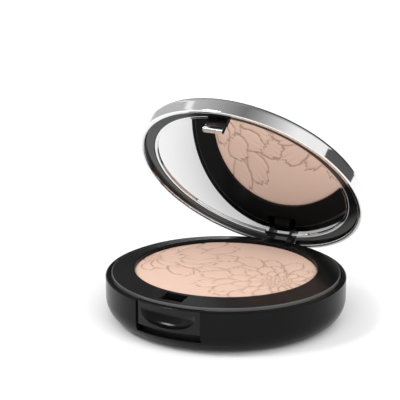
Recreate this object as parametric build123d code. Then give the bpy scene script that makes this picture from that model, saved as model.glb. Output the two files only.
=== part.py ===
from build123d import *
import math
import os

os.makedirs("parts", exist_ok=True)

# Round powder compact. Millimetres. Origin at the centre of the resting face, +Z up,
# -Y towards the front (button and latch), +Y towards the hinge. The lid is drawn closed and
# then turned open about the hinge pin, so that the rest pose is the half-open one.

# ---- driving dimensions: base ----
CASE_R = 39.0            # outer radius of base and lid
LEDGE_Z = 14.45          # height of the base's wall, from the resting face to its ledge
EDGE_R = 7.5             # rounding of the base's lower edge
PARTING_Z = 3.7          # top of the tray, where the wall ring starts
WALL_T = 2.1             # wall ring below its shelf
RIM_T = 1.5              # wall ring above its shelf
RIM_H = 2.45             # shelf to ledge
LEDGE_BREAK = 0.3        # broken outer edge of the ledge
TRAY_T = 1.4             # floor of the tray
TRAY_STEP_H = 1.2        # raised margin of the tray's floor
TRAY_STEP_IN = 1.0       # margin starts this far inside the foot's edge
TONGUE_H = 1.9           # tongue of the tray inside the ring
TONGUE_T = 0.9
TONGUE_ROOT = 0.5        # tongue starts this far below the parting line
FIT = 0.04               # assembly gap between pieces of one body
LOOSE = 0.1              # gap between pieces that only stand beside each other

# ---- driving dimensions: deck, pan and powder ----
DECK_W = 9.36            # case's outside to the opening for the pan
DECK_GROOVE = 0.45       # groove between deck and ring
DECK_RISE = 0.85         # deck's outer edge above the ledge
DECK_CROWN = 1.1         # deck's inner edge above its outer one
DECK_ROUND = 0.3
SKIRT_T = 1.45           # wall under the deck's outer edge
FLANGE_H = 1.2           # flange of the skirt, standing on the shelf
WELL_WALL = 1.0
WELL_DEPTH = 5.4         # deck's inner edge to the well's floor
FLOOR_T = 1.1
PAN_GAP = 0.19           # pan to well, radially
PAN_T = 0.35
PAN_H = 3.7
PAN_ROUND = 0.8
GLUE_T = 0.15
GLUE_MARGIN = 3.0        # adhesive disc inside the pan's edge
POWDER_RISE = 0.5        # powder above the pan's rim
POWDER_GAP = 0.04        # powder to well, radially
POWDER_ROUND = 0.2

FOOT_W = 6.9             # flat foot round the label's recess
RECESS_H = 0.4
LABEL_T = 0.15
LABEL_GAP = 0.6          # label to recess, radially

# ---- driving dimensions: button and latch ----
WINDOW_HALF_W = 11.2
WINDOW_DROP = 2.25       # window's sill below the button
WINDOW_ROUND = 0.15      # rounded upright edges of the window
BUTTON_GAP = 0.15        # button to window and to the ledge's plane
BUTTON_SET = 0.6         # button's curved face inside the case's
BUTTON_T = 3.3           # face to back, in the middle
BUTTON_FOOT = 1.95       # lower face below the springs' centres
BUTTON_ROUND = 0.25
BUTTON_TRAVEL = 1.1
SCOOP_MARGIN = 0.7       # scoop to the button's sides
SCOOP_DROP = 1.85        # scoop's upper edge below the button's top
SCOOP_H = 5.0
SCOOP_DEPTH = 2.5
SCOOP_SET = 0.3          # centre of the scoop's curve inside the face
SCOOP_ROUND = 0.15       # rounded rim of the scoop

SLOT_HALF_W = 3.75       # slot in the deck for the hook
SLOT_LEN = 4.3
SLOT_SET = 2.3           # slot's front end inside the ring's ledge
HOOK_GAP = 0.3           # hook to the slot's sides
HOOK_SET = 1.8           # hook's front behind the slot's front end
HOOK_T = 1.1
HOOK_REACH = 3.7         # hook below the lid's lip
HOOK_NOSE = 0.5          # nose in front of the blade
HOLDER_DROP = 0.3        # black holder below the lid's lip
HOLDER_BACK = 0.35       # holder behind the blade
TANG_INSET = 1.05        # tang narrower than the blade, each side
TANG_H = 2.57            # tang above the lid's lip

WIRE_R = 0.2
SPRING_R = 1.2           # mean radius of the coil
SPRING_TURNS = 5
SPRING_INSET = 3.05      # springs inside the button's sides
POCKET_GAP = 0.25
POCKET_DEPTH = 1.2
GUIDE_T = 1.3
GUIDE_LEN = 3.6          # button's back to the guide's wall, at rest
GUIDE_TOP_GAP = 0.2      # guide below the well's floor
GUIDE_INSET = 0.35       # guide narrower than the button, each side
RAIL_T = 1.0
POST_LEN = 1.2
POST_BELOW = 1.1         # posts' centres below the guide's top

# ---- driving dimensions: hinge ----
PIN_R = 0.8
PIN_CLEAR = 0.05         # lid ears run on the pin
PIN_SHORT = 0.3          # pin inside the cheeks' faces
PIN_BREAK = 0.15
KNUCKLE_R = 2.3
KNUCKLE_GAP = 0.4        # room for the knuckles in ring and deck
SLOT_GAP = 0.35          # room for the knuckles in the block
PIN_DROP = 4.52          # pin below the ledge
CENTRE_HALF_W = 2.85     # middle of the hinge block
CENTRE_RISE = 0.08       # middle of the block above the deck's edge
EAR_T = 1.9
EAR_BACK = 0.55          # ear's web behind the pin
EAR_FRONT = 0.3          # ear's web behind the bezel
SIDE_GAP = 0.2           # ear to block and block to ring, each side
CHEEK_T = 2.1
CHEEK_DROP = 0.32        # cheeks below the ledge
BLOCK_LEN = 4.1          # block's front face to the pin
RELIEF_GAP = 0.47        # rear of the ring, cut back for the lid's lip
RELIEF_MARGIN = 3.75     # relief beyond the cheeks, each side
RELIEF_FRONT = 1.6       # relief starts this far in front of the pin
OPEN_DEG = 47.9          # lid angle from closed, in the rest pose

# ---- driving dimensions: lid, in the closed position ----
LIP_GAP = 0.3            # lip above the ledge
LID_WALL = 1.6
LID_EDGE_R = 2.2
LID_TOP_T = 1.46         # lid's top over the liner, at its edge
DOME_H = 1.0
LIP_ROUND = 0.55
LIP_NOTCH_GAP = 0.45     # gap in the lip, beyond the ears
LINER_GAP = 0.05
LINER_W = 3.15           # liner's ring round the bezel
LINER_DROP = 0.3         # liner's face below the deck's crown
LINER_WEB = 1.03         # liner over the tape
LINER_ROUND = 0.3
BEZEL_DROP = 0.2         # bezel's face below the deck's crown
BEZEL_WALL = 0.45
BEZEL_LAP = 0.7          # bezel over the mirror's edge
BEZEL_TOP = 0.18         # bezel above the mirror's back
BEZEL_STEP = 0.28        # notch for the ears, up from the mirror's face
MIRROR_GAP = 0.32        # mirror above the deck's crown
MIRROR_T = 1.2
MIRROR_BREAK = 0.15
TAPE_T = 0.35
TAPE_INSET = 1.25        # tape inside the mirror's edge

# ---- values that follow: radii ----
FOOT_R = CASE_R - EDGE_R
RING_IN_R = CASE_R - WALL_T
LEDGE_IN_R = CASE_R - RIM_T
TONGUE_R = RING_IN_R - FIT
TRAY_IN_R = TONGUE_R - TONGUE_T
RECESS_R = FOOT_R - FOOT_W
DECK_EDGE_R = LEDGE_IN_R - DECK_GROOVE
SKIRT_IN_R = DECK_EDGE_R - SKIRT_T
WELL_R = CASE_R - DECK_W
WELL_OUT_R = WELL_R + WELL_WALL
PAN_R = WELL_R - PAN_GAP
POWDER_R = WELL_R - POWDER_GAP
LID_IN_R = CASE_R - LID_WALL
LINER_R = LID_IN_R - LINER_GAP
BEZEL_OUT_R = LINER_R - LINER_W
MIRROR_R = BEZEL_OUT_R - BEZEL_WALL
BEZEL_IN_R = MIRROR_R - BEZEL_LAP

# ---- values that follow: heights ----
SHELF_Z = LEDGE_Z - RIM_H
DECK_EDGE_Z = LEDGE_Z + DECK_RISE
CROWN_Z = DECK_EDGE_Z + DECK_CROWN
WELL_FLOOR_Z = CROWN_Z - WELL_DEPTH
WELL_UNDER_Z = WELL_FLOOR_Z - FLOOR_T
PAN_Z = WELL_FLOOR_Z + GLUE_T
PAN_RIM_Z = PAN_Z + PAN_H
POWDER_TOP_Z = PAN_RIM_Z + POWDER_RISE
TRAY_MARGIN_Z = TRAY_T + TRAY_STEP_H
TONGUE_Z = PARTING_Z + TONGUE_H
LIP_Z = LEDGE_Z + LIP_GAP
MIRROR_Z = CROWN_Z + MIRROR_GAP
TAPE_Z = MIRROR_Z + MIRROR_T
LINER_Z = CROWN_Z - LINER_DROP
LINER_WEB_Z = TAPE_Z + TAPE_T
LINER_TOP_Z = LINER_WEB_Z + LINER_WEB
BEZEL_Z = CROWN_Z - BEZEL_DROP
BEZEL_TOP_Z = TAPE_Z + BEZEL_TOP
LID_SIDE_TOP_Z = LINER_TOP_Z + FIT + LID_TOP_T - LID_EDGE_R

# ---- values that follow: button, latch and hinge ----
GUIDE_TOP_Z = WELL_UNDER_Z - GUIDE_TOP_GAP
SPRING_Z = GUIDE_TOP_Z - POST_BELOW
BUTTON_HALF_W = WINDOW_HALF_W - BUTTON_GAP
BUTTON_R = CASE_R - BUTTON_SET
BUTTON_BACK_Y = BUTTON_T - BUTTON_R
BUTTON_TOP_Z = LEDGE_Z - BUTTON_GAP
BUTTON_Z = SPRING_Z - BUTTON_FOOT
WINDOW_Z = BUTTON_Z - WINDOW_DROP
GATE_HALF_W = WINDOW_HALF_W + HOOK_GAP + LOOSE
SPRING_X = BUTTON_HALF_W - SPRING_INSET
GUIDE_WALL_Y = BUTTON_BACK_Y + GUIDE_LEN
SLOT_FRONT_Y = SLOT_SET - LEDGE_IN_R
SLOT_BACK_Y = SLOT_FRONT_Y + SLOT_LEN
HOOK_FRONT_Y = SLOT_FRONT_Y + HOOK_SET
HOOK_HALF_W = SLOT_HALF_W - HOOK_GAP
HOLDER_FRONT_Y = HOOK_FRONT_Y - BUTTON_GAP
HOLDER_BACK_Y = HOOK_FRONT_Y + HOOK_T + HOLDER_BACK
HINGE_Y = CASE_R - KNUCKLE_R
HINGE_Z = LEDGE_Z - PIN_DROP
HINGE = Axis((0, HINGE_Y, HINGE_Z), (1, 0, 0))
EAR_IN_X = CENTRE_HALF_W + SIDE_GAP
EAR_OUT_X = EAR_IN_X + EAR_T
CHEEK_IN_X = EAR_OUT_X + SIDE_GAP
CHEEK_OUT_X = CHEEK_IN_X + CHEEK_T
CHEEK_R = PIN_DROP - CHEEK_DROP
CENTRE_R = PIN_DROP + DECK_RISE + CENTRE_RISE
REAR_HALF_W = CHEEK_OUT_X + SIDE_GAP
BLOCK_FRONT_Y = HINGE_Y - BLOCK_LEN
RELIEF_R = PIN_DROP + LIP_GAP - RELIEF_GAP
RELIEF_HALF_W = CHEEK_OUT_X + RELIEF_MARGIN
NOTCH_HALF_W = EAR_OUT_X + LIP_NOTCH_GAP
BIG = 4 * CASE_R


def ring(r_out, r_in, z0, z1):
    """Upright tube between two heights; r_in of 0 gives a disc."""
    body = Pos(0, 0, (z0 + z1) / 2) * Cylinder(r_out, z1 - z0)
    if r_in:
        body -= Pos(0, 0, (z0 + z1) / 2) * Cylinder(r_in, 2 * (z1 - z0))
    return body


def block(x0, x1, y0, y1, z0, z1):
    """Box between two corners."""
    return Pos((x0 + x1) / 2, (y0 + y1) / 2, (z0 + z1) / 2) * Box(x1 - x0, y1 - y0, z1 - z0)


def band(z0, z1):
    """All space between two heights."""
    return block(-BIG, BIG, -BIG, BIG, z0, z1)


def barrel(x0, x1, radius):
    """Cylinder about the hinge axis, from x0 to x1."""
    return Pos((x0 + x1) / 2, HINGE_Y, HINGE_Z) * Rot(0, 90, 0) * Cylinder(radius, x1 - x0)


def profile(points):
    """Closed chain of straight edges through points (radius, height) in the XZ plane."""
    corners = [(r, 0, z) for r, z in points]
    return Wire([Line(a, b) for a, b in zip(corners, corners[1:] + corners[:1])])


def revolved(wire):
    """Solid of revolution about Z."""
    return revolve(make_face(wire), Axis.Z, 360)


def both_sides(make):
    """A shape made for side 1 and for side -1."""
    right = make(1)
    return right + make(-1)


def base_outline():
    """Full outer form of the base, from the resting face to the ledge."""
    diag = EDGE_R * math.sin(math.pi / 4)
    return revolved(Wire([
        Line((0, 0, 0), (FOOT_R, 0, 0)),
        ThreePointArc((FOOT_R, 0, 0), (FOOT_R + diag, 0, EDGE_R - diag), (CASE_R, 0, EDGE_R)),
        Line((CASE_R, 0, EDGE_R), (CASE_R, 0, LEDGE_Z)),
        Line((CASE_R, 0, LEDGE_Z), (0, 0, LEDGE_Z)),
        Line((0, 0, LEDGE_Z), (0, 0, 0)),
    ]))


def rim_edges(shape, radius, z, tol=0.02):
    """Circular edges of a shape at one radius and height."""
    return [e for e in shape.edges().filter_by(GeomType.CIRCLE)
            if abs(e.radius - radius) < tol and abs(e.center().Z - z) < tol]


def make_case_ring():
    body = base_outline() - band(-1, PARTING_Z)
    body -= ring(RING_IN_R, 0, PARTING_Z - 1, SHELF_Z)
    body -= ring(LEDGE_IN_R, 0, SHELF_Z, LEDGE_Z + 1)
    body = chamfer(rim_edges(body, CASE_R, LEDGE_Z), LEDGE_BREAK)
    body -= block(-WINDOW_HALF_W, WINDOW_HALF_W, -BIG, -CASE_R / 2, WINDOW_Z, LEDGE_Z + 1)
    outside_y = math.sqrt(CASE_R ** 2 - WINDOW_HALF_W ** 2)
    uprights = [e for e in body.edges().filter_by(Axis.Z) if abs(e.center().Y + outside_y) < FIT
                and e.length > RIM_H]
    body = fillet(uprights, WINDOW_ROUND)
    rear_z = HINGE_Z - KNUCKLE_R - KNUCKLE_GAP
    body -= block(-REAR_HALF_W, REAR_HALF_W, CASE_R / 2, BIG, rear_z, LEDGE_Z + 1)
    relief = block(-RELIEF_HALF_W, RELIEF_HALF_W, HINGE_Y - RELIEF_FRONT, BIG, HINGE_Z, LEDGE_Z + 1)
    body -= relief - barrel(-RELIEF_HALF_W - 1, RELIEF_HALF_W + 1, RELIEF_R)
    return body


def make_base_tray():
    hollow = ring(TRAY_IN_R, 0, TRAY_MARGIN_Z, PARTING_Z + 1)
    hollow += ring(FOOT_R - TRAY_STEP_IN, 0, TRAY_T, PARTING_Z + 1)
    body = base_outline() - band(PARTING_Z, LEDGE_Z + 1) - hollow
    tongue = ring(TONGUE_R, TRAY_IN_R, PARTING_Z - TONGUE_ROOT, TONGUE_Z)
    tongue -= block(-GATE_HALF_W, GATE_HALF_W, -BIG, 0, PARTING_Z, TONGUE_Z + 1)
    tongue -= block(-REAR_HALF_W, REAR_HALF_W, 0, BIG, PARTING_Z, TONGUE_Z + 1)
    body += tongue
    body -= ring(RECESS_R, 0, -1, RECESS_H)
    return body


def make_hinge_block():
    """Foot on the tray, column behind the deck, a middle barrel and two cheeks round the pin."""
    foot = block(-CHEEK_OUT_X, CHEEK_OUT_X, BLOCK_FRONT_Y, HINGE_Y, TRAY_MARGIN_Z, HINGE_Z)
    foot = foot & ring(TRAY_IN_R - LOOSE, 0, 0, TONGUE_Z)
    column = block(-CHEEK_OUT_X, CHEEK_OUT_X, BLOCK_FRONT_Y, HINGE_Y, PARTING_Z, HINGE_Z)
    column = column & ring(TONGUE_R, 0, 0, HINGE_Z)
    cheeks = both_sides(lambda s: barrel(*sorted((s * CHEEK_IN_X, s * CHEEK_OUT_X)), CHEEK_R))
    crown = cheeks + barrel(-CENTRE_HALF_W, CENTRE_HALF_W, CENTRE_R)
    crown -= band(-BIG, HINGE_Z - KNUCKLE_R)
    crown -= block(-BIG, BIG, -BIG, BLOCK_FRONT_Y, -BIG, BIG)
    crown = crown & ring(CASE_R - FIT, 0, 0, BIG)
    body = foot + column + crown
    slot_r = KNUCKLE_R + SLOT_GAP
    for s in (1, -1):
        x0, x1 = sorted((s * CENTRE_HALF_W, s * CHEEK_IN_X))
        body -= barrel(x0, x1, slot_r)
        body -= block(x0, x1, HINGE_Y - slot_r, BIG, HINGE_Z, BIG)
        body -= block(x0, x1, HINGE_Y, BIG, HINGE_Z - slot_r, BIG)
    return body - barrel(-BIG, BIG, PIN_R)


def make_hinge_pin():
    half = CHEEK_OUT_X - PIN_SHORT
    pin = barrel(-half, half, PIN_R)
    return chamfer(pin.edges().filter_by(GeomType.CIRCLE), PIN_BREAK)


def make_deck_plate():
    """Sloping deck with a flanged skirt that stands on the shelf, and the well for the pan."""
    flange_r = LEDGE_IN_R - FIT
    flange_z = SHELF_Z + FLANGE_H
    body = revolved(profile([
        (WELL_R, WELL_UNDER_Z), (WELL_R, CROWN_Z), (DECK_EDGE_R, DECK_EDGE_Z),
        (DECK_EDGE_R, flange_z), (flange_r, flange_z), (flange_r, SHELF_Z), (SKIRT_IN_R, SHELF_Z),
        (SKIRT_IN_R, LEDGE_Z), (WELL_OUT_R, LEDGE_Z), (WELL_OUT_R, WELL_UNDER_Z)]))
    body = fillet(rim_edges(body, DECK_EDGE_R, DECK_EDGE_Z), DECK_ROUND)
    body = fillet(rim_edges(body, WELL_R, CROWN_Z), DECK_ROUND)
    body += ring(WELL_R + WELL_WALL / 2, 0, WELL_UNDER_Z, WELL_FLOOR_Z)
    body -= block(-GATE_HALF_W, GATE_HALF_W, -BIG, -WELL_OUT_R, 0, LEDGE_Z)
    body -= block(-SLOT_HALF_W, SLOT_HALF_W, SLOT_FRONT_Y, SLOT_BACK_Y, LEDGE_Z - 1, CROWN_Z + 1)
    body -= block(-REAR_HALF_W, REAR_HALF_W, BLOCK_FRONT_Y - LOOSE, BIG, 0, LEDGE_Z)
    mouth = CHEEK_IN_X + LOOSE
    body -= block(-mouth, mouth, HINGE_Y - KNUCKLE_R - KNUCKLE_GAP, BIG, LEDGE_Z - 1, BIG)
    body -= barrel(-REAR_HALF_W, REAR_HALF_W, CHEEK_R + LOOSE)
    body -= barrel(-CENTRE_HALF_W - FIT, CENTRE_HALF_W + FIT, CENTRE_R + FIT)
    return body


def make_powder_pan():
    cup = ring(PAN_R, 0, PAN_Z, PAN_RIM_Z)
    cup = fillet(rim_edges(cup, PAN_R, PAN_Z), PAN_ROUND)
    return cup - pan_filling()


def pan_filling():
    """Inside of the pan, up to its rim."""
    inner = PAN_R - PAN_T
    filling = ring(inner, 0, PAN_Z + PAN_T, PAN_RIM_Z)
    return fillet(rim_edges(filling, inner, PAN_Z + PAN_T), PAN_ROUND - PAN_T)


def make_pressed_powder():
    cap = ring(POWDER_R, 0, PAN_RIM_Z, POWDER_TOP_Z)
    cap = fillet(rim_edges(cap, POWDER_R, POWDER_TOP_Z), POWDER_ROUND)
    return pan_filling() + cap


def make_latch_button():
    body = ring(BUTTON_R, 0, BUTTON_Z, BUTTON_TOP_Z)
    body = body & block(-BUTTON_HALF_W, BUTTON_HALF_W, -BIG, BUTTON_BACK_Y, BUTTON_Z, BUTTON_TOP_Z)
    curved = [e for e in body.edges().filter_by(GeomType.CIRCLE) if e.center().Y < BUTTON_BACK_Y]
    body = fillet(curved, BUTTON_ROUND)
    scoop_z = BUTTON_TOP_Z - SCOOP_DROP
    scoop = Pos(0, SCOOP_SET - BUTTON_R, scoop_z) * scale(
        Sphere(1), by=(BUTTON_HALF_W - SCOOP_MARGIN, SCOOP_DEPTH + SCOOP_SET, SCOOP_H))
    body -= scoop - band(scoop_z, BIG)
    rim = [e for e in body.edges() if scoop_z - SCOOP_H - FIT < e.center().Z < scoop_z + FIT
           and e.center().Y < BUTTON_BACK_Y and abs(e.center().X) < BUTTON_HALF_W - FIT]
    body = fillet(rim, SCOOP_ROUND)
    pocket = Cylinder(SPRING_R + WIRE_R + POCKET_GAP, POCKET_DEPTH)
    for s in (1, -1):
        body -= Pos(s * SPRING_X, BUTTON_BACK_Y - POCKET_DEPTH / 2, SPRING_Z) * Rot(90, 0, 0) * pocket
    return body


def make_button_guide():
    """Frame behind the button: a floor that it slides over, two rails, and a wall with two posts."""
    side = BUTTON_HALF_W - GUIDE_INSET
    low_z = TRAY_MARGIN_Z + FIT
    rail_y = BUTTON_BACK_Y + BUTTON_TRAVEL + HOOK_GAP
    body = block(-side, side, BUTTON_BACK_Y - RAIL_T, GUIDE_WALL_Y, low_z, BUTTON_Z - BUTTON_GAP)
    body += block(-side, side, GUIDE_WALL_Y, GUIDE_WALL_Y + GUIDE_T, low_z, GUIDE_TOP_Z)
    body += both_sides(lambda s: block(*sorted((s * (side - RAIL_T), s * side)),
                                       rail_y, GUIDE_WALL_Y, low_z, GUIDE_TOP_Z))
    post = Cylinder(SPRING_R - 2 * WIRE_R, POST_LEN)
    for s in (1, -1):
        body += Pos(s * SPRING_X, GUIDE_WALL_Y - POST_LEN / 2, SPRING_Z) * Rot(90, 0, 0) * post
    return body & ring(TRAY_IN_R - LOOSE, 0, 0, BIG)


def make_button_spring(side):
    """Compression coil with its axis along Y, from the button's pocket to the guide's wall."""
    start_y = BUTTON_BACK_Y - POCKET_DEPTH + WIRE_R + FIT / 2
    end_y = GUIDE_WALL_Y - WIRE_R - FIT / 2
    length = end_y - start_y
    path = Helix(pitch=length / SPRING_TURNS, height=length, radius=SPRING_R)
    section = Plane(origin=path @ 0, z_dir=path % 0) * Circle(WIRE_R)
    coil = sweep(section, path=path)
    return Pos(side * SPRING_X, start_y, SPRING_Z) * Rot(-90, 0, 0) * coil


def make_lid_shell():
    """Plated cover: side wall, rounded edge and a low dome."""
    corner = CASE_R - LID_EDGE_R
    diag = LID_EDGE_R * math.sin(math.pi / 4)
    lean = 2 * DOME_H / corner
    edge_x = corner + LID_EDGE_R * math.sin(lean)
    edge_z = LID_SIDE_TOP_Z + LID_EDGE_R * math.cos(lean)
    dome_r = (edge_x ** 2 + DOME_H ** 2) / (2 * DOME_H)
    top_z = edge_z + DOME_H
    mid_z = top_z - dome_r + math.sqrt(dome_r ** 2 - edge_x ** 2 / 4)
    body = revolved(Wire([
        Line((0, 0, LIP_Z), (CASE_R, 0, LIP_Z)),
        Line((CASE_R, 0, LIP_Z), (CASE_R, 0, LID_SIDE_TOP_Z)),
        ThreePointArc((CASE_R, 0, LID_SIDE_TOP_Z), (corner + diag, 0, LID_SIDE_TOP_Z + diag),
                      (edge_x, 0, edge_z)),
        ThreePointArc((edge_x, 0, edge_z), (edge_x / 2, 0, mid_z), (0, 0, top_z)),
        Line((0, 0, top_z), (0, 0, LIP_Z)),
    ]))
    body -= ring(LID_IN_R, 0, LIP_Z - 1, LINER_TOP_Z + FIT)
    body = fillet(rim_edges(body, CASE_R, LIP_Z) + rim_edges(body, LID_IN_R, LIP_Z), LIP_ROUND)
    notch_y = HINGE_Y - KNUCKLE_R - KNUCKLE_GAP
    body -= block(-NOTCH_HALF_W, NOTCH_HALF_W, notch_y, BIG, LIP_Z - 1, LINER_Z - SIDE_GAP)
    return body


def holder_cut(z0, z1, gap):
    """Room for the hook's holder through the mirror, its tape and its bezel."""
    return block(-HOOK_HALF_W - gap, HOOK_HALF_W + gap, -BIG, HOLDER_BACK_Y + gap, z0, z1)


def make_lid_liner():
    """Black ring in the lid, with the holder of the hook in front and two hinge ears behind."""
    body = ring(LINER_R, 0, LINER_Z, LINER_TOP_Z)
    body = fillet(rim_edges(body, LINER_R, LINER_Z), LINER_ROUND)
    body -= ring(BEZEL_OUT_R + FIT, 0, LINER_Z - 1, LINER_WEB_Z)
    body += block(-HOOK_HALF_W, HOOK_HALF_W, HOLDER_FRONT_Y, HOLDER_BACK_Y,
                  LIP_Z - HOLDER_DROP, LINER_WEB_Z + SIDE_GAP)
    body -= hook_tang(FIT)
    body += both_sides(make_ear)
    return body - barrel(-BIG, BIG, PIN_R + PIN_CLEAR)


def make_ear(side):
    """One hinge ear: a plate from the liner's ring down to a knuckle round the pin."""
    x0, x1 = sorted((side * EAR_IN_X, side * EAR_OUT_X))
    front_y, back_y = HINGE_Y - KNUCKLE_R, HINGE_Y + EAR_BACK
    top_z = LINER_Z + KNUCKLE_GAP
    web = make_face(Polyline((x0, front_y, HINGE_Z), (x0, back_y, HINGE_Z), (x0, back_y, top_z),
                             (x0, BEZEL_OUT_R + EAR_FRONT, top_z), (x0, front_y, HINGE_Z)))
    plate = extrude(web, amount=x1 - x0, dir=(1, 0, 0)) & ring(LINER_R, 0, 0, BIG)
    return barrel(x0, x1, KNUCKLE_R) + plate


def hook_tang(gap):
    """Upper end of the hook, held in the liner's block."""
    half = HOOK_HALF_W - TANG_INSET + gap
    front_y = HOOK_FRONT_Y + HOOK_T / 4 - gap
    back_y = HOOK_FRONT_Y + HOOK_T - BUTTON_GAP + gap
    return block(-half, half, front_y, back_y, LIP_Z - 1, LIP_Z + TANG_H + gap)


def make_latch_hook():
    """Plated blade with a groove across its front and a rounded nose at its end."""
    top_z = LIP_Z - HOLDER_DROP - FIT
    low_z = LIP_Z - HOOK_REACH
    front, back = HOOK_FRONT_Y, HOOK_FRONT_Y + HOOK_T
    nose, groove = front - HOOK_NOSE, front + 0.2
    side = [(front, top_z), (back, top_z), (back, low_z + 0.5), (back - 0.4, low_z),
            (front - 0.15, low_z), (nose, low_z + 0.5), (nose, low_z + 1.0), (front - 0.1, low_z + 1.7),
            (front - 0.1, low_z + 2.0), (groove, low_z + 2.1), (groove, low_z + 2.45),
            (front, low_z + 2.55)]
    outline = make_face(Polyline([(-HOOK_HALF_W, y, z) for y, z in side + side[:1]]))
    blade = extrude(outline, amount=2 * HOOK_HALF_W, dir=(1, 0, 0))
    return blade + (hook_tang(0) & band(top_z - HOLDER_DROP, BIG))


def make_mirror_glass():
    disc = ring(MIRROR_R, 0, MIRROR_Z, TAPE_Z)
    disc = chamfer(rim_edges(disc, MIRROR_R, MIRROR_Z), MIRROR_BREAK)
    return disc - holder_cut(MIRROR_Z - 1, TAPE_Z + 1, LOOSE)


def make_mirror_tape():
    disc = ring(MIRROR_R - TAPE_INSET, 0, TAPE_Z, LINER_WEB_Z)
    return disc - holder_cut(TAPE_Z - 1, LINER_WEB_Z + 1, 3 * LOOSE)


def make_mirror_bezel():
    """Plated ring over the mirror's edge, notched for the hook's holder and for the ears."""
    body = ring(BEZEL_OUT_R, BEZEL_IN_R, BEZEL_Z, BEZEL_TOP_Z)
    body -= ring(MIRROR_R + FIT, 0, MIRROR_Z - FIT, BEZEL_TOP_Z + 1)
    body = fillet(rim_edges(body, BEZEL_OUT_R, BEZEL_Z), 0.25)
    body = fillet(rim_edges(body, BEZEL_IN_R, BEZEL_Z), 0.2)
    body -= holder_cut(BEZEL_Z - 1, BEZEL_TOP_Z + 1, LOOSE)
    side_x = EAR_OUT_X + 1.5 * SIDE_GAP
    corners = [(0, 0, BEZEL_Z - 1), (2 * side_x, 2 * BEZEL_IN_R, BEZEL_Z - 1),
               (-2 * side_x, 2 * BEZEL_IN_R, BEZEL_Z - 1)]
    wedge = Wire([Line(a, b) for a, b in zip(corners, corners[1:] + corners[:1])])
    return body - extrude(make_face(wedge), MIRROR_Z + BEZEL_STEP - BEZEL_Z + 1, dir=(0, 0, 1))


base_parts = {
    "case_ring": make_case_ring(),
    "base_tray": make_base_tray(),
    "hinge_block": make_hinge_block(),
    "hinge_pin": make_hinge_pin(),
    "deck_plate": make_deck_plate(),
    "pan_adhesive": ring(PAN_R - GLUE_MARGIN, 0, WELL_FLOOR_Z, PAN_Z),
    "powder_pan": make_powder_pan(),
    "pressed_powder": make_pressed_powder(),
    "base_label": ring(RECESS_R - LABEL_GAP, 0, RECESS_H - LABEL_T, RECESS_H),
    "latch_button": make_latch_button(),
    "button_guide": make_button_guide(),
    "button_spring_left": make_button_spring(-1),
    "button_spring_right": make_button_spring(1),
}
lid_parts = {
    "lid_shell": make_lid_shell(),
    "lid_liner": make_lid_liner(),
    "mirror_bezel": make_mirror_bezel(),
    "mirror_glass": make_mirror_glass(),
    "mirror_tape": make_mirror_tape(),
    "latch_hook": make_latch_hook(),
}

for name, shape in base_parts.items():
    export_step(shape, f"parts/{name}.step")
for name, shape in lid_parts.items():
    export_step(shape.rotate(HINGE, -OPEN_DEG), f"parts/{name}.step")
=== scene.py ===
import math
import random
import bpy
import numpy as np
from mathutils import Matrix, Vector


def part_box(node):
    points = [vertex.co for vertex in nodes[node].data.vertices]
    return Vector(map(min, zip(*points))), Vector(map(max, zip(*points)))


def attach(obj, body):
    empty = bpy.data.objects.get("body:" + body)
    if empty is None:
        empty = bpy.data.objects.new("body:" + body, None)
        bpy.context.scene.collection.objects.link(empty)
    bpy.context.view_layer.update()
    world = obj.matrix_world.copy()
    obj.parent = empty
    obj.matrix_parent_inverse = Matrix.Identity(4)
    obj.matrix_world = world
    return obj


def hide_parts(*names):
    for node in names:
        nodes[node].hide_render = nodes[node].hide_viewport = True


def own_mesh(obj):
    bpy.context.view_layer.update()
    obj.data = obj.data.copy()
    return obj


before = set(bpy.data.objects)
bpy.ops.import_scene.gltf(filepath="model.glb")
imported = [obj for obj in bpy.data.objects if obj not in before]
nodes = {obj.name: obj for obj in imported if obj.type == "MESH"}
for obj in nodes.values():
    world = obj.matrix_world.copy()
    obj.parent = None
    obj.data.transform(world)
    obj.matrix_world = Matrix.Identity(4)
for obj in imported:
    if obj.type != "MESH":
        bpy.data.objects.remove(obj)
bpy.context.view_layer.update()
MM = 0.001
bpy.ops.object.select_all(action="DESELECT")


# ---- Tray and wall ring ----
# The two halves of the base's outside, injection moulded in black ABS and snapped together at a
# parting line low on the wall. Both come from spark-eroded moulds, which leave a fine even grain.

class Socket:
    """An output of a material's nodes. Arithmetic on it adds Math nodes; add() makes any other."""

    def __init__(self, tree, out=None):
        self.tree = tree
        self.out = out

    def add(self, kind, settings=None, inputs=None, output=0):
        node = self.tree.nodes.new(kind)
        for name, value in (settings or {}).items():
            setattr(node, name, value)
        for key, value in (inputs or {}).items():
            if isinstance(value, Socket):
                self.tree.links.new(value.out, node.inputs[key])
            else:
                node.inputs[key].default_value = value
        return Socket(self.tree, node.outputs[output])

    def beside(self, output):
        """Another output of the same node."""
        return Socket(self.tree, self.out.node.outputs[output])

    def math(self, operation, *values):
        return self.add("ShaderNodeMath", {"operation": operation}, dict(enumerate(values)))

    def __add__(self, other):
        return self.math("ADD", self, other)

    def __sub__(self, other):
        return self.math("SUBTRACT", self, other)

    def __rsub__(self, other):
        return self.math("SUBTRACT", other, self)

    def __mul__(self, other):
        return self.math("MULTIPLY", self, other)

    def __pow__(self, other):
        return self.math("POWER", self, other)

    __radd__ = __add__
    __rmul__ = __mul__


def finish(name, **constants):
    """A new material with constants on its shader, and the tree that patterns are added to."""
    material = bpy.data.materials.new(name)
    material.use_nodes = True
    shader = material.node_tree.nodes["Principled BSDF"]
    for socket, value in constants.items():
        shader.inputs[socket.replace("_", " ")].default_value = value
    return material, Socket(material.node_tree)


def drive(pattern, socket):
    """Links a pattern to one socket of its material's shader."""
    shader = pattern.tree.nodes["Principled BSDF"]
    pattern.tree.links.new(pattern.out, shader.inputs[socket])


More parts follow.
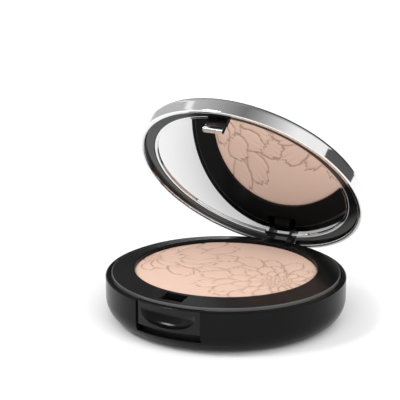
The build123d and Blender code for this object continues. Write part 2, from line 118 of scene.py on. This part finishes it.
def own_place(tree):
    return tree.add("ShaderNodeTexCoord", output="Object")


def noise(tree, size, detail=2.0):
    """Grey noise whose features are about size metres wide."""
    return tree.add("ShaderNodeTexNoise",
                    inputs={"Vector": own_place(tree), "Scale": 1 / size, "Detail": detail})


def grain(tree, size, height):
    """Surface bump from fine noise, in metres."""
    bump = tree.add("ShaderNodeBump", output="Normal",
                    inputs={"Height": noise(tree, size), "Distance": height, "Strength": 1.0})
    drive(bump, "Normal")


def tone(tree, mask, low, high):
    """Colour between low and high, by a mask."""
    return tree.add("ShaderNodeMix", {"data_type": "RGBA"},
                    {"Factor": mask, 6: (*low, 1.0), 7: (*high, 1.0)}, output=2)


MOULD_GRAIN = 0.12 * MM
MOULD_GRAIN_H = 0.004 * MM


def moulded_black(name, colour, roughness, level):
    """Grained black plastic: a little uneven in shade and gloss, as handled mouldings are."""
    material, tree = finish(name, **{"Specular_IOR_Level": level})
    cloud = noise(tree, 9 * MM, 3.0)
    drive(tone(tree, cloud, [0.85 * c for c in colour], [1.15 * c for c in colour]), "Base Color")
    drive(cloud * 0.08 + (roughness - 0.04), "Roughness")
    grain(tree, MOULD_GRAIN, MOULD_GRAIN_H)
    return material


def dress(material, *names):
    for name in names:
        nodes[name].data.materials.clear()
        nodes[name].data.materials.append(material)


SATIN_BLACK = (0.005, 0.005, 0.005)
case_black = moulded_black("case_black", SATIN_BLACK, 0.22, 0.09)
dress(case_black, "base_tray", "case_ring")


# ---- Base label ----
# A round self-adhesive film in the recess under the tray, matt black and left blank.
# Its face is slightly fibrous from the paper under the film.

label_film, tree = finish("label_film", Roughness=0.55)
fibres = noise(tree, 0.6 * MM, 6.0)
drive(tone(tree, fibres, (0.016, 0.016, 0.016), (0.030, 0.030, 0.030)), "Base Color")
grain(tree, 0.25 * MM, 0.006 * MM)
dress(label_film, "base_label")


# ---- Deck ----
# The sloping black plate round the pan, moulded in ABS, with the hook's slot in front.
# Its outer edge is drawn as a lighter line, a painted highlight that stands in for that edge's thin
# highlight.

def clamped(value):
    """A value held between 0 and 1."""
    return value.add("ShaderNodeClamp", inputs={0: value})


FLANGE_OUT = 0.41 * MM      # the hidden flange stands out past the deck's edge by this
DECK_OUT_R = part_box("deck_plate")[1].x - FLANGE_OUT
EDGE_W = 0.26 * MM
deck_black, tree = finish("deck_black", Specular_IOR_Level=0.10)
place = tree.add("ShaderNodeSeparateXYZ", inputs={0: own_place(tree)})
radius = (place * place + place.beside(1) * place.beside(1)) ** 0.5
cloud = noise(tree, 9 * MM, 3.0)
# Painted highlight: the base colour turns lighter grey within EDGE_W of the deck's outer edge.
painted_edge_highlight = clamped((radius - (DECK_OUT_R - EDGE_W)) * (2 / EDGE_W))
drive(tone(tree, painted_edge_highlight * (cloud * 0.5 + 0.6), SATIN_BLACK, (0.11, 0.11, 0.11)), "Base Color")
drive(cloud * 0.08 + 0.18, "Roughness")
grain(tree, MOULD_GRAIN, MOULD_GRAIN_H)
dress(deck_black, "deck_plate")


# ---- Pan, adhesive and mirror tape ----
# A pressed tinplate pan, stuck down in its well with a disc of acrylic adhesive. The mirror is held
# by a disc of the same adhesive.

tinplate, tree = finish("tinplate", Metallic=1.0)
drawn = noise(tree, 0.8 * MM, 4.0)
drive(tone(tree, drawn, (0.58, 0.57, 0.55), (0.72, 0.71, 0.69)), "Base Color")
drive(drawn * 0.15 + 0.25, "Roughness")
dress(tinplate, "powder_pan")
adhesive, tree = finish("adhesive", Roughness=0.5)
drive(tone(tree, noise(tree, 2 * MM), (0.55, 0.53, 0.45), (0.68, 0.66, 0.58)), "Base Color")
dress(adhesive, "pan_adhesive", "mirror_tape")


# ---- Latch button, its guide and springs ----
# The push button is moulded in the same black but polished. Behind it a frame of black acetal,
# snapped into the tray, holds two steel coils.

button_black = moulded_black("button_black", SATIN_BLACK, 0.14, 0.22)
dress(button_black, "latch_button")
acetal, tree = finish("acetal", Roughness=0.4, Specular_IOR_Level=0.15)
drive(tone(tree, noise(tree, 3 * MM), (0.006, 0.006, 0.006), (0.012, 0.012, 0.012)), "Base Color")
dress(acetal, "button_guide")
spring_steel, tree = finish("spring_steel", Metallic=1.0)
drive(tone(tree, noise(tree, 0.5 * MM), (0.35, 0.34, 0.33), (0.55, 0.54, 0.52)), "Base Color")
drive(noise(tree, 0.3 * MM) * 0.1 + 0.22, "Roughness")
dress(spring_steel, "button_spring_left", "button_spring_right", "hinge_pin")

# Each coil is copied with its doubled vertices merged, hung on the base, and shown in place of the
# original.
for node in ("button_spring_left", "button_spring_right"):
    coil = nodes[node].copy()
    coil.data = nodes[node].data.copy()
    coil.name = node.replace("button_spring", "coil")
    bpy.context.collection.objects.link(coil)
    bpy.ops.object.select_all(action="DESELECT")
    coil.select_set(True)
    bpy.context.view_layer.objects.active = coil
    bpy.ops.object.mode_set(mode="EDIT")
    bpy.ops.mesh.select_all(action="SELECT")
    bpy.ops.mesh.remove_doubles(threshold=0.001 * MM)
    bpy.ops.object.mode_set(mode="OBJECT")
    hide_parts(node)
    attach(coil, "base")
    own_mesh(coil)
bpy.ops.object.select_all(action="DESELECT")


# ---- Hinge block ----
# A moulded block behind the deck that carries the hinge pin between its cheeks. It is snapped into
# the wall ring from inside, so no screw shows.

dress(case_black, "hinge_block")


# ---- Lid cover, bezel and hook ----
# Moulded in ABS, plated with bright nickel and chromium, and clipped to the black liner. The plate
# follows the mould's polish, so the trim is a little clearer than the broad cover.

def plated(name, roughness):
    material, tree = finish(name, Metallic=1.0)
    film = noise(tree, 7 * MM, 4.0)
    drive(tone(tree, film, (0.81, 0.81, 0.815), (0.86, 0.86, 0.865)), "Base Color")
    drive(film * 0.03 + roughness, "Roughness")
    return material


lid_chrome = plated("lid_chrome", 0.05)
trim_chrome = plated("trim_chrome", 0.03)
dress(lid_chrome, "lid_shell")
dress(trim_chrome, "mirror_bezel", "latch_hook")


# ---- Lid liner ----
# The polished black ring between the cover's lip and the bezel, moulded with the two hinge ears.

gloss_black = moulded_black("gloss_black", SATIN_BLACK, 0.16, 0.5)
dress(gloss_black, "lid_liner")


# ---- Mirror ----
# Silvered float glass, taped to the liner and held round its edge by the bezel.

mirror_silver, tree = finish("mirror_silver", Metallic=1.0)
film = noise(tree, 12 * MM)
drive(tone(tree, film, (0.85, 0.85, 0.85), (0.86, 0.86, 0.86)), "Base Color")
drive(film * 0.004, "Roughness")
dress(mirror_silver, "mirror_glass")


# ---- Pressed powder ----
# Face powder pressed into the pan under an engraved stamp, which leaves two open blossoms in low
# relief. The cake is matt, with painted shade: darker colour along the stamp's outlines and veins and
# towards the petals' roots.

cake_low, cake_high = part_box("pressed_powder")
CAKE_R = cake_high.x
CAKE_CELLS = 250
bpy.ops.mesh.primitive_grid_add(x_subdivisions=CAKE_CELLS, y_subdivisions=CAKE_CELLS, size=2)
cake = bpy.context.object
cake.name = "powder_cake"


def square_to_disc(a, b):
    """Even map from the square of half-width 1 to the unit disc."""
    wide = np.abs(a) > np.abs(b)
    reach = np.where(wide, a, b)
    safe = np.where(reach == 0, 1, reach)
    turn = np.where(wide, b / safe * math.pi / 4, math.pi / 2 - a / safe * math.pi / 4)
    return reach * np.cos(turn), reach * np.sin(turn)


count = len(cake.data.vertices)
places = np.zeros(3 * count)
cake.data.vertices.foreach_get("co", places)
places = places.reshape(-1, 3)
disc_x, disc_y = square_to_disc(places[:, 0], places[:, 1])
disc_x, disc_y = disc_x * CAKE_R / MM, disc_y * CAKE_R / MM     # millimetres, from here on

LINE_W = 0.30            # half-width of an outline's groove
LINE_DEPTH = 0.17
PETAL_RISE = 0.16
height = np.zeros(count)
painted_groove_shade = np.zeros(count)


def stamp(inset, dome, line=1.0, shade=0.0):
    """Presses one shape over what is there: inset is the distance inside its outline."""
    global height, painted_groove_shade
    inside = inset > 0
    # Painted shade: the mask darkens the colour along each outline's groove, and by shade inside the
    # shape.
    edge = np.exp(-(inset / LINE_W) ** 2) * line
    body = dome * np.clip(inset / 1.2, 0, 1) ** 0.6
    height = np.where(inside, body, height) - LINE_DEPTH * edge
    painted_groove_shade = np.where(inside, np.maximum(edge, shade), np.maximum(painted_groove_shade, edge))


def petal(root, turn, length, width, tip, phase):
    """A petal from its root outwards; tip shifts its widest part, phase sets its ragged edge."""
    along = (disc_x - root[0]) * math.cos(turn) + (disc_y - root[1]) * math.sin(turn)
    across = (disc_y - root[1]) * math.cos(turn) - (disc_x - root[0]) * math.sin(turn)
    curl = 0.06 * length
    across = across + curl * np.sin(3 * along / length + phase) - curl * math.sin(phase)

    def half_width(share):
        wave = 1 + 0.05 * np.sin(9 * share + phase) + 0.03 * np.sin(23 * share + 2 * phase)
        full = np.clip(share, 0, 1) ** tip
        return width / 2 * np.sin(math.pi * full) ** 0.7 * wave

    lobes = 1 + 0.035 * np.cos(across / width * 15 + phase) + 0.03 * np.cos(across / width * 31)
    share = along / (length * lobes)
    half = half_width(share)
    slope = (half_width(share + 0.01) - half_width(share - 0.01)) / (0.02 * length)
    inset = (half - np.abs(across)) / np.sqrt(1 + slope ** 2)
    outside = np.maximum(-share, share - 1) * length
    inset = np.where(outside > 0, -np.hypot(outside, across), inset)
    veins = np.clip(np.cos(across / width * 26 + phase), 0, 1) ** 5
    veins = veins * np.clip(3 * share - 1.6, 0, 1) * np.clip(inset / 0.8, 0, 1)
    # Painted shade along the veins and towards the petal's root, where the petals overlap.
    stamp(inset, PETAL_RISE * (1 - 0.45 * share) - 0.05 * veins,
          shade=0.42 * veins + 0.22 * np.clip(1 - 1.6 * share, 0, 1))


def blossom(centre, rings, florets, seed):
    """Petals in rings, the outermost first, and a crowded centre of small florets."""
    draw = random.Random(seed)
    for number, start, sweep, inner, length, width in rings:
        for k in range(number):
            turn = math.radians(start + sweep * (k + 0.5) / number + draw.uniform(-5, 5))
            root = (centre[0] + inner * math.cos(turn), centre[1] + inner * math.sin(turn))
            petal(root, turn + draw.uniform(-0.12, 0.12), length * draw.uniform(0.85, 1.12),
                  width * draw.uniform(0.85, 1.15), draw.uniform(1.2, 1.6), draw.uniform(0, 6))
    for k in range(florets, 0, -1):
        turn = k * math.pi * (3 - math.sqrt(5))
        reach = 0.68 * math.sqrt(k)
        x = centre[0] + reach * math.cos(turn) + draw.uniform(-0.15, 0.15)
        y = centre[1] + reach * math.sin(turn) + draw.uniform(-0.15, 0.15)
        size = draw.uniform(0.5, 0.85)
        stamp(size - np.hypot(disc_x - x, disc_y - y), PETAL_RISE, 0.8)


# Each ring is: petals, first angle, sweep in degrees, distance of the roots, length and width.
SIDE_RINGS = [(7, -12, 72, 17.0, 15.0, 7.5), (6, -30, 90, 9.0, 13.0, 7.5), (7, -60, 140, 3.0, 9.0, 5.0)]
MAIN_RINGS = [(5, 132, 112, 11.0, 15.0, 8.2), (13, 0, 360, 8.0, 13.5, 6.6),
              (13, 14, 360, 6.0, 9.5, 5.2), (12, 0, 360, 4.0, 6.0, 3.4)]
blossom((-28.0, -1.0), SIDE_RINGS, 24, 11)
blossom((20.0, -2.5), MAIN_RINGS, 46, 5)

TOP = cake_high.z / MM
height = np.clip(height, -0.3, PETAL_RISE + 0.03)
rim = np.clip((CAKE_R / MM - np.hypot(disc_x, disc_y)) / 0.25, 0, 1)
places[:, 0] = disc_x * MM
places[:, 1] = disc_y * MM
places[:, 2] = (TOP - PETAL_RISE - 0.03 + height - 0.2 * (1 - np.sqrt(1 - (1 - rim) ** 2))) * MM
cake.data.vertices.foreach_set("co", places.ravel())
groove_shade_attribute = cake.data.attributes.new("painted_groove_shade", "FLOAT", "POINT")
groove_shade_attribute.data.foreach_set("value", np.clip(painted_groove_shade, 0, 1).astype(np.float32))
cake.data.update()

bpy.ops.object.mode_set(mode="EDIT")
bpy.ops.mesh.select_all(action="DESELECT")
bpy.ops.mesh.select_non_manifold()
bpy.ops.mesh.extrude_region_move(TRANSFORM_OT_translate={"value": (0, 0, -0.4 * MM)})
bpy.ops.mesh.edge_face_add()
bpy.ops.mesh.select_all(action="SELECT")
bpy.ops.mesh.normals_make_consistent(inside=False)
bpy.ops.object.mode_set(mode="OBJECT")
bpy.ops.object.shade_smooth_by_angle(angle=math.radians(40))

pressed_powder, tree = finish("pressed_powder", Roughness=0.9, Specular_IOR_Level=0.15)
# Painted shade: the mask mixes the powder's colour towards dark brown in the grooves and overlaps.
groove_shade_factor = tree.add("ShaderNodeAttribute", {"attribute_name": "painted_groove_shade"}, output="Fac")
ground = tone(tree, noise(tree, 5 * MM, 4.0), (0.700, 0.492, 0.398), (0.730, 0.517, 0.420))
powder_with_painted_shade = tree.add("ShaderNodeMix", {"data_type": "RGBA"},
                 {"Factor": groove_shade_factor * 0.85, 6: ground, 7: (0.40, 0.265, 0.20, 1.0)}, output=2)
drive(powder_with_painted_shade, "Base Color")
grain(tree, 0.18 * MM, 0.02 * MM)
cake.data.materials.append(pressed_powder)
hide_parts("pressed_powder")
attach(cake, "base")


# ---- Floor, light and camera ----
# A white floor in a pale tent, with soft daylight from in front and behind, one small bright lamp,
# and a long lens a little above the object.

bpy.ops.object.select_all(action="DESELECT")
bpy.ops.mesh.primitive_plane_add(size=6)
floor = bpy.context.object
floor.name = "floor"
floor_white, tree = finish("floor_white", Roughness=0.9, Specular_IOR_Level=0.0,
                           Base_Color=(0.93, 0.93, 0.93, 1.0))
floor.data.materials.append(floor_white)

# A grey tent with a narrow bright slit on the left, a dark gap overhead, and a broad bright panel on
# the right. Behind the object it is open to a dark room. Seen directly, it is a white backdrop.
TENT_GREY = 0.55
PANEL_WHITE = 1.0
GAP_DARK = 0.2
GAP_HALF_W = 0.7
SLIT_X = -0.75
OPENING_Y = 0.6

world = bpy.data.worlds.new("studio")
bpy.context.scene.world = world
world.use_nodes = True
tree = Socket(world.node_tree)
across = tree.add("ShaderNodeSeparateXYZ", inputs={0: tree.add("ShaderNodeTexCoord")})
away = across.beside(1)
tent = clamped(across * 1.5) * (PANEL_WHITE - TENT_GREY) + TENT_GREY
gap = clamped(1 - tree.math("ABSOLUTE", across) * (1 / GAP_HALF_W))
tent = tent + gap * (GAP_DARK - tent)
slit = clamped(1.5 - tree.math("ABSOLUTE", across - SLIT_X) * 30)
tent = tent + slit * (PANEL_WHITE - tent)
tent = tent * (1 - clamped((away - OPENING_Y) * 5) * 0.9)
direct = tree.add("ShaderNodeLightPath")
world.node_tree.links.new((direct + (1 - direct) * tent).out,
                          world.node_tree.nodes["Background"].inputs["Strength"])
world.node_tree.nodes["Background"].inputs["Color"].default_value = (1.0, 1.0, 1.0, 1.0)


def softbox(name, place, aim, width, depth, watts, seen):
    bpy.ops.object.light_add(type="AREA", location=place)
    light = bpy.context.object
    light.name = name
    light.data.shape = "RECTANGLE"
    light.data.size = width
    light.data.size_y = depth
    light.data.energy = watts
    light.rotation_euler = (Vector(aim) - Vector(place)).to_track_quat("-Z", "Y").to_euler()
    light.visible_glossy = seen
    return light


softbox("key", (-0.40, -0.46, 0.68), (0, 0, 0.02), 0.22, 0.22, 2.6, True)


def daylight(name, toward, spread, strength):
    """Soft parallel light from one side, unseen in reflections."""
    bpy.ops.object.light_add(type="SUN", location=toward)
    light = bpy.context.object
    light.name = name
    light.data.angle = math.radians(spread)
    light.data.energy = strength
    light.rotation_euler = Vector(toward).to_track_quat("Z", "Y").to_euler()
    light.visible_glossy = False


daylight("front_fill", (1.0, -1.0, 1.3), 90, 2.20)
daylight("back_fill", (-0.5, 0.9, 1.1), 80, 0.70)

# A black card on the right, only for the reflections in the plating.
bpy.ops.mesh.primitive_plane_add(size=1)
card = bpy.context.object
card.name = "black_card"
card.location = (0.42, 0.33, 0.13)
card.scale = (0.42, 0.26, 1)
card.rotation_euler = Vector((0.42, 0.33, 0.0)).to_track_quat("Z", "Y").to_euler()
card_black, tree = finish("card_black", Roughness=0.9, Specular_IOR_Level=0.0,
                          Base_Color=(0.1, 0.1, 0.1, 1.0))
card.data.materials.append(card_black)
card.visible_camera = False
card.visible_diffuse = False
card.visible_shadow = False

bpy.context.scene.view_settings.view_transform = "Standard"
EYE = Vector((0.18907, -0.35407, 0.14914))
AIM = Vector((-0.00732, -0.00411, 0.03858))
bpy.ops.object.camera_add(location=EYE)
camera = bpy.context.object
camera.rotation_euler = (AIM - EYE).to_track_quat("-Z", "Y").to_euler()
camera.data.lens = 117
camera.data.sensor_width = 36
camera.data.clip_start = 0.01
bpy.context.scene.camera = camera
